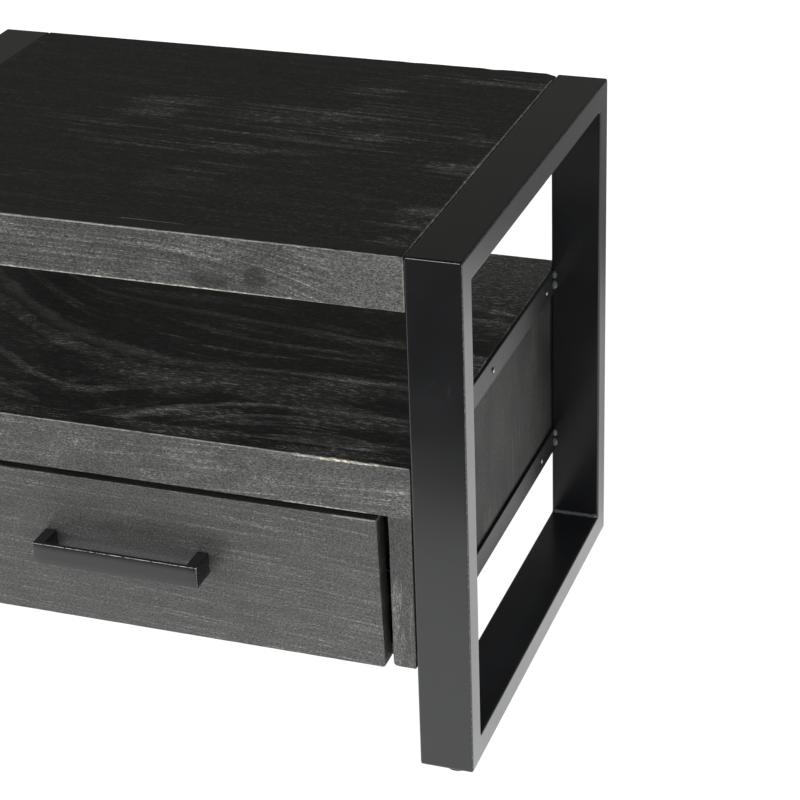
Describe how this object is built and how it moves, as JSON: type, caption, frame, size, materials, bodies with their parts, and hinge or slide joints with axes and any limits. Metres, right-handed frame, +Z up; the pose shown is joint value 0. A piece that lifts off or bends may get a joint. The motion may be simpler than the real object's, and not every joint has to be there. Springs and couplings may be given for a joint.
{
  "type": "side table with drawer",
  "caption": "Low black-stained wooden side table between two welded box-section steel end frames, with an open shelf bay and a drawer with a bar handle.",
  "frame": {"origin": "on the floor, at the middle of the whole table's width and depth, handle included", "axes": "+X along the table's width to its right as seen from the front, -Y out of the front where the drawer opens, +Z up"},
  "size_m": [0.65, 0.489, 0.503],
  "materials": {
    "stained_wood": "black stain rubbed back on the edges, satin lacquer",
    "drawer_box_wood": "dark stained, matt",
    "frame_steel": "satin black powder coat over ground welds",
    "handle_steel": "black lacquer, worn on the top edge",
    "slide_steel": "black zinc plated",
    "screw_steel": "black oxide, rubbed bright on the head",
    "glide_plastic": "matt black"
  },
  "bodies": {
    "table": {"front_post_left": "frame_steel", "back_post_left": "frame_steel", "top_bar_left": "frame_steel", "bottom_bar_left": "frame_steel", "top_rail_left": "frame_steel", "shelf_rail_left": "frame_steel", "angle_rail_left": "frame_steel", "glide_front_left": "glide_plastic", "glide_back_left": "glide_plastic", "stile_left": "stained_wood", "side_panel_left": "stained_wood", "top_batten_left": "stained_wood", "slide_outer_left": "slide_steel", "shelf_screw_1_left": "screw_steel", "shelf_screw_2_left": "screw_steel", "shelf_screw_3_left": "screw_steel", "angle_screw_1_left": "screw_steel", "angle_screw_2_left": "screw_steel", "top_screw_1_left": "screw_steel", "top_screw_2_left": "screw_steel", "front_post_right": "frame_steel", "back_post_right": "frame_steel", "top_bar_right": "frame_steel", "bottom_bar_right": "frame_steel", "top_rail_right": "frame_steel", "shelf_rail_right": "frame_steel", "angle_rail_right": "frame_steel", "glide_front_right": "glide_plastic", "glide_back_right": "glide_plastic", "stile_right": "stained_wood", "side_panel_right": "stained_wood", "top_batten_right": "stained_wood", "slide_outer_right": "slide_steel", "shelf_screw_1_right": "screw_steel", "shelf_screw_2_right": "screw_steel", "shelf_screw_3_right": "screw_steel", "angle_screw_1_right": "screw_steel", "angle_screw_2_right": "screw_steel", "top_screw_1_right": "screw_steel", "top_screw_2_right": "screw_steel", "top_board": "stained_wood", "top_front_edge": "stained_wood", "top_back_edge": "stained_wood", "shelf_board": "stained_wood", "shelf_front_rail": "stained_wood", "bottom_panel": "stained_wood", "back_panel": "stained_wood"},
    "drawer": {"drawer_front": "stained_wood", "drawer_side_left": "drawer_box_wood", "drawer_side_right": "drawer_box_wood", "drawer_back": "drawer_box_wood", "drawer_bottom": "drawer_box_wood", "drawer_handle": "handle_steel", "handle_screw_left": "screw_steel", "handle_screw_right": "screw_steel", "slide_inner_left": "slide_steel", "slide_inner_right": "slide_steel"},
    "slide_middle_left": {"slide_middle_left": "slide_steel"},
    "slide_middle_right": {"slide_middle_right": "slide_steel"}
  },
  "joints": [
    {"name": "drawer_slide", "type": "slide", "parent": "table", "child": "drawer", "axis": [0, -1, 0], "range_m": [0, 0.3]},
    {"name": "slide_middle_left_travel", "type": "slide", "parent": "table", "child": "slide_middle_left", "axis": [0, -1, 0], "range_m": [0, 0.15]},
    {"name": "slide_middle_right_travel", "type": "slide", "parent": "table", "child": "slide_middle_right", "axis": [0, -1, 0], "range_m": [0, 0.15]}
  ],
  "couplings": [
    {"joint": "slide_middle_left_travel", "follows": "drawer_slide", "ratio": 0.5},
    {"joint": "slide_middle_right_travel", "follows": "drawer_slide", "ratio": 0.5}
  ]
}
